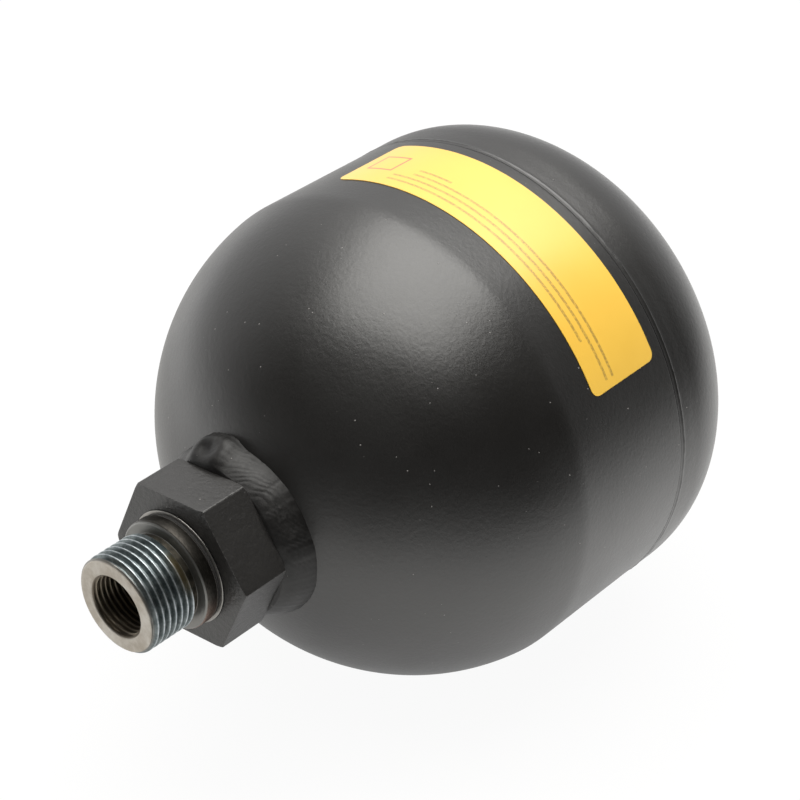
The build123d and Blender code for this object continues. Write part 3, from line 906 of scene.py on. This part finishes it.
def make_port_weld():
    """A fillet bead with swept ripples on its upper side, and the lump where the welder stopped."""
    around, across = 720, 30
    points, wear = [], []
    for i in range(across + 1):
        for k in range(around):
            point, worn = weld_point(2 * math.pi * k / around, i / across)
            points.append(point)
            wear.append(worn)
    for radius, place in ((NECK_RADIUS, WELD_TOE), (NECK_RADIUS, HEX_BACK)):
        points += [turned(radius, place, 2 * math.pi * k / around) for k in range(around)]
        wear += [0.0] * around
    piece = woven("port_weld_bead", points, around, 60)
    add_attribute(piece.data, "wear", wear)
    return piece


dress(make_port_weld(), WELD_PAINT, "vessel", "black_paint", "fluid_port_weld")

# ---------------------------------------------------------------- label


def make_label():
    """A thin film with round corners, laid on the band."""
    width = LABEL_END - LABEL_START
    length = math.radians(LABEL_TO - LABEL_FROM) * LABEL_RADIUS
    around, across = 180, 40
    bottom = BAND_RADIUS + 0.01 * MM
    top = LABEL_RADIUS - 0.02 * MM

    def warp(u, v):
        """Moves the corner of the unit sheet in along a quarter circle."""
        x, y = u * length, v * width
        cx = min(max(x, LABEL_CORNER), length - LABEL_CORNER)
        cy = min(max(y, LABEL_CORNER), width - LABEL_CORNER)
        dx, dy = x - cx, y - cy
        far = max(abs(dx), abs(dy))
        if dx and dy:
            scale = far / math.hypot(dx, dy)
            return cx + dx * scale, cy + dy * scale
        return x, y

    def spaced(count, corner_share, corner_steps=8):
        """Shares from 0 to 1, closer together at both ends, where the corners are."""
        inner = count - 2 * corner_steps
        out = [corner_share * k / corner_steps for k in range(corner_steps)]
        out += [corner_share + (1 - 2 * corner_share) * k / inner for k in range(inner)]
        return out + [1 - corner_share + corner_share * k / corner_steps for k in range(corner_steps + 1)]

    us, vs = spaced(around, LABEL_CORNER / length), spaced(across, LABEL_CORNER / width)
    work = bmesh.new()
    layers = []
    for radius in (top, bottom):
        grid = []
        for v in vs:
            line = []
            for u in us:
                x, y = warp(u, v)
                turn = math.radians(LABEL_FROM) + x / LABEL_RADIUS
                line.append(work.verts.new(turned(radius, LABEL_START + y, turn)))
            grid.append(line)
        layers.append(grid)
    upper, lower = layers
    for j in range(across):
        for i in range(around):
            work.faces.new((upper[j][i], upper[j][i + 1], upper[j + 1][i + 1], upper[j + 1][i]))
            work.faces.new((lower[j][i], lower[j + 1][i], lower[j + 1][i + 1], lower[j][i + 1]))
    rim = [(0, i) for i in range(around)] + [(j, around) for j in range(across)]
    rim += [(across, i) for i in range(around, 0, -1)] + [(j, 0) for j in range(across, 0, -1)]
    for (j0, i0), (j1, i1) in zip(rim, rim[1:] + rim[:1]):
        work.faces.new((upper[j0][i0], lower[j0][i0], lower[j1][i1], upper[j1][i1]))
    mesh = bpy.data.meshes.new("label_film")
    bmesh.ops.recalc_face_normals(work, faces=work.faces)
    work.to_mesh(mesh)
    work.free()
    return smooth_object("label_film", mesh, 50)


dress(make_label(), LABEL_FILM, "vessel", "yellow_label", "side_label")

# ---------------------------------------------------------------- gas side


def gas_shape(turn, radius, place):
    """Cuts the charging thread into the turned stub."""
    if GAS_RADIUS - 0.6 * MM < radius < GAS_RADIUS + 0.1 * MM and place > GAS_THREAD_START:
        cut = thread_depth(turn, place, GAS_THREAD_START, GAS_END + 2 * MM, GAS_PITCH)
        fade = min(1.0, (place - GAS_THREAD_START) / (0.6 * MM))
        return min(radius, GAS_RADIUS - GAS_THREAD_DEPTH * cut * fade), place
    return radius, place


def make_gas_stub():
    """The threaded stub, its foot and the counterbore for the charging screw."""
    foot_end = GAS_THREAD_START - 2.0 * MM
    first_turn = GAS_THREAD_START + 0.3 * MM
    floor = GAS_END - COUNTERBORE_DEPTH
    lower = [
        (GAS_NECK_RADIUS, GAS_INNER),
        (GAS_NECK_RADIUS, REAR_POLE),
        (GAS_FOOT_RADIUS, REAR_POLE),
        (GAS_FOOT_RADIUS, foot_end),
        (GAS_RELIEF_RADIUS, foot_end),
        (GAS_RELIEF_RADIUS, GAS_THREAD_START),
        (GAS_RADIUS, GAS_THREAD_START),
        (GAS_RADIUS, first_turn),
    ]
    thread = fine([(GAS_RADIUS, first_turn), (GAS_RADIUS, GAS_END - 1.0 * MM)], GAS_PITCH / 16)
    mouth = [
        (GAS_RADIUS, GAS_END - 1.0 * MM),
        (GAS_RADIUS - 1.0 * MM, GAS_END),
        (COUNTERBORE_RADIUS + 0.3 * MM, GAS_END),
        (COUNTERBORE_RADIUS, GAS_END - 0.3 * MM),
        (COUNTERBORE_RADIUS, floor),
        (SCREW_HOLE_RADIUS, floor),
        (SCREW_HOLE_RADIUS, SCREW_TIP - 2.0 * MM),
        (GAS_HOLE_RADIUS, SCREW_TIP - 2.0 * MM),
        (GAS_HOLE_RADIUS, GAS_INNER),
    ]
    chamfered = fine(rounded(mouth, 0.2 * MM, 3), 2.0 * MM)
    profile = rounded(lower, 0.25 * MM, 3)[:-1] + thread[:-1] + chamfered
    return lathe("gas_stub", profile, 256, gas_shape, angle=40)


def gas_ripple(turn, radius, place):
    """Ripples on the outside of the stub's weld."""
    if radius < GAS_FOOT_RADIUS + 0.2 * MM or place < REAR_POLE - 4.6 * MM:
        return radius, place
    phase = turn * 70 / (2 * math.pi) + 0.5 * wave(turn, 0, 3.0, 4.0) - 300 * (radius - GAS_FOOT_RADIUS)
    lift = 0.10 * MM * (abs(math.sin(math.pi * phase)) ** 0.7 - 0.5) + 0.12 * MM * wave(turn, 0, 5.0, 7.0)
    return radius + 0.5 * lift, place + 0.8 * lift


def make_gas_weld():
    """Fillet bead between the stub's foot and the rear shell."""
    foot = GAS_FOOT_RADIUS + 0.02 * MM
    toe_radius = GAS_WELD_RADIUS - 0.25 * MM
    toe = REAR_CENTRE + REAR_DEPTH * math.sqrt(1 - (toe_radius / REAR_RADIUS) ** 2)
    top = GAS_WELD_END - 0.3 * MM
    bead = [(foot, top)]
    for k in range(1, 13):
        t = k / 12
        crown = 0.35 * MM * math.sin(math.pi * t)
        bead.append((foot + (toe_radius - foot) * t + 0.6 * crown, top + (toe - top) * t + 0.8 * crown))
    bead += [(toe_radius, toe - 0.8 * MM), (foot - 3.0 * MM, toe - 0.8 * MM)]
    bead += [(foot - 3.0 * MM, REAR_POLE - 1.2 * MM), (foot - 0.5 * MM, REAR_POLE - 0.4 * MM)]
    piece = lathe("gas_weld_bead", bead, 420, gas_ripple, angle=60)
    add_attribute(piece.data, "wear", [0.05] * len(piece.data.vertices))
    return piece


dress(make_gas_stub(), SCREW_STEEL, "vessel", "plain_steel", "gas_port")
dress(make_gas_weld(), WELD_PAINT, "vessel", "black_paint", "gas_port_weld")

# ---------------------------------------------------------------- diaphragm


def make_diaphragm():
    """The rubber cup against the front shell, its rim and the pocket that holds the button."""
    thickness = 2.6 * MM
    clearance = 0.4 * MM
    outer = BORE_RADIUS - clearance
    inner = outer - thickness
    depth = DOME_DEPTH - WALL - clearance
    pocket = BUTTON_RADIUS + clearance
    rim_start = RUBBER_END - 6.7 * MM
    outside = ellipse(outer, -depth, DOME_CENTRE, 90, pole_angle(pocket, outer), 40)
    pocket_floor = BUTTON_TOP + clearance
    inside = ellipse(inner, thickness - depth, DOME_CENTRE, pole_angle(pocket + thickness, inner), 90, 40)
    profile = [(RIM_RADIUS, RUBBER_END), (RIM_RADIUS, rim_start), (outer, rim_start)]
    profile += outside + [(pocket, pocket_floor), (1.0 * MM, pocket_floor)]
    profile += [(1.0 * MM, pocket_floor + thickness), (pocket + thickness, pocket_floor + thickness)]
    profile += inside[1:] + [(inner, RUBBER_END)]
    return lathe("diaphragm_rubber", fine(rounded(profile, 0.8 * MM, 3), 2.5 * MM), 160, angle=50)


diaphragm = make_diaphragm()
coat(diaphragm, RUBBER)
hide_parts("diaphragm")
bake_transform(diaphragm)

# ---------------------------------------------------------------- CAD nodes that stay

CARRIED = {
    "port_seal_ring": RUBBER,
    "charging_screw_seal": RUBBER,
    "closing_button": INNER_STEEL,
    "clamp_ring": INNER_STEEL,
    "charging_screw": SCREW_STEEL,
}
for node, material in CARRIED.items():
    coat(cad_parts[node], material)

# ---------------------------------------------------------------- floor, world and lamps

OBJECT_MIDDLE = Vector((0, 0.105, 0))
PICTURE_RIGHT = Vector((0.749, 0.662, 0.0))
# directions along the floor in which its reflection darkens
SHADED_SIDES = (Vector((0.50, -0.87, 0.0)), Vector((1.0, -0.03, 0.0)))
PAPER = (0.90, 0.895, 0.88, 1)
# strength of the floor's glow in reflections, from the picture's left to its right
FLOOR_GLOW = (0.62, 1.75)
FAR_LEFT_GLOW = 1.6  # added to it
SHADED_GLOW = 0.05
# how much of the floor is glow and not paper: to the camera, and in near and far reflections
CAMERA_SHARE = 0.94
GLOSSY_SHARES = (0.5, 0.95)
# the direction in which the surroundings darken, and their strengths away from it and in it
DARK_SIDE = Vector((0.67, -0.67, 0.28)).normalized()
SURROUNDINGS = (1.0, 0.02)
FILL = 0.35  # added to them for diffuse rays


def make_floor():
    """A pale sheet, close to white for the camera. Reflections of it are darker in front of the
    object and brighter to its right and far left."""
    size = 4.0
    low = FLOOR - 0.05 * MM
    corners = [(-size, -size, low), (size, -size, low), (size, size, low), (-size, size, low)]
    mesh = bpy.data.meshes.new("floor")
    mesh.from_pydata(corners, [], [(0, 1, 2, 3)])
    floor = bpy.data.objects.new("floor", mesh)
    bpy.context.scene.collection.objects.link(floor)
    nodes = Nodes("pale_floor")
    nodes.tree.nodes.remove(nodes.shader)
    path = nodes.add("ShaderNodeLightPath")
    camera, glossy = path.outputs["Is Camera Ray"], path.outputs["Is Glossy Ray"]
    shaded = nodes.math("MAXIMUM", *[nodes.along(nodes.place, side) for side in SHADED_SIDES])
    right = nodes.along(nodes.place, PICTURE_RIGHT)
    far_left = nodes.step(right, -0.30, -0.12, FAR_LEFT_GLOW, 0.0)
    glow = nodes.math("ADD", nodes.step(right, -0.10, 0.22, *FLOOR_GLOW), far_left)
    mirrored = nodes.times(glow, nodes.step(shaded, 0.0, 0.40, 1.0, SHADED_GLOW))
    shining = nodes.add("ShaderNodeEmission")
    strength = nodes.math("MULTIPLY_ADD", glossy, nodes.math("SUBTRACT", mirrored, 1.0), 1.0)
    nodes.link(strength, shining.inputs["Strength"])
    paper = nodes.add("ShaderNodeBsdfDiffuse")
    paper.inputs["Color"].default_value = PAPER
    share = nodes.times(glossy, nodes.step(shaded, 0.05, 0.35, *GLOSSY_SHARES))
    share = nodes.math("MULTIPLY_ADD", camera, CAMERA_SHARE, share)
    nodes.mix_shaders(share, paper.outputs[0], shining.outputs[0], nodes.tree.nodes["Material Output"])
    mesh.materials.append(nodes.material)


def make_world():
    """White for the camera. Everything else is lit by surroundings that darken towards one side."""
    world = bpy.data.worlds.new("studio")
    bpy.context.scene.world = world
    world.use_nodes = True
    world.node_tree.nodes.clear()
    nodes = Tree(world.node_tree)
    direction = nodes.add("ShaderNodeTexCoord").outputs["Generated"]
    shade = nodes.step(nodes.along(direction, DARK_SIDE), -0.64, 0.27, *SURROUNDINGS)
    path = nodes.add("ShaderNodeLightPath")
    studio = nodes.add("ShaderNodeBackground")
    strength = nodes.math("MULTIPLY_ADD", path.outputs["Is Diffuse Ray"], FILL, shade)
    nodes.link(strength, studio.inputs["Strength"])
    white = nodes.add("ShaderNodeBackground")
    white.inputs["Color"].default_value = (1, 1, 1, 1)
    white.inputs["Strength"].default_value = 1.0
    seen = nodes.math("MAXIMUM", path.outputs["Is Camera Ray"], path.outputs["Is Transmission Ray"])
    nodes.mix_shaders(seen, studio.outputs[0], white.outputs[0], nodes.add("ShaderNodeOutputWorld"))


def area_light(name, offset, size, power, tint):
    """A soft box that faces the object's middle."""
    lamp = bpy.data.lights.new(name, "AREA")
    lamp.shape = "RECTANGLE"
    lamp.size, lamp.size_y = size
    lamp.energy = power
    lamp.color = tint
    holder = bpy.data.objects.new(name, lamp)
    holder.location = OBJECT_MIDDLE + Vector(offset)
    holder.rotation_euler = (-Vector(offset)).to_track_quat("-Z", "Y").to_euler()
    bpy.context.scene.collection.objects.link(holder)


CAMERA_PLACE = (0.33688, -0.27553, 0.35210)
CAMERA_LOOK = Vector((-0.54869, 0.62043, -0.56036))
LENS = 101.38


def make_camera():
    """The camera that was fitted to the photograph."""
    data = bpy.data.cameras.new("camera")
    data.lens = LENS
    data.sensor_width = 36.0
    data.clip_start = 0.01
    holder = bpy.data.objects.new("camera", data)
    holder.location = CAMERA_PLACE
    holder.rotation_euler = CAMERA_LOOK.to_track_quat("-Z", "Y").to_euler()
    bpy.context.scene.collection.objects.link(holder)
    bpy.context.scene.camera = holder


make_floor()
make_world()
area_light("overhead_box", (-0.02, 0.08, 0.90), (0.92, 1.04), 13.6, (1.0, 0.985, 0.95))
make_camera()
bpy.context.scene.view_settings.view_transform = "Standard"
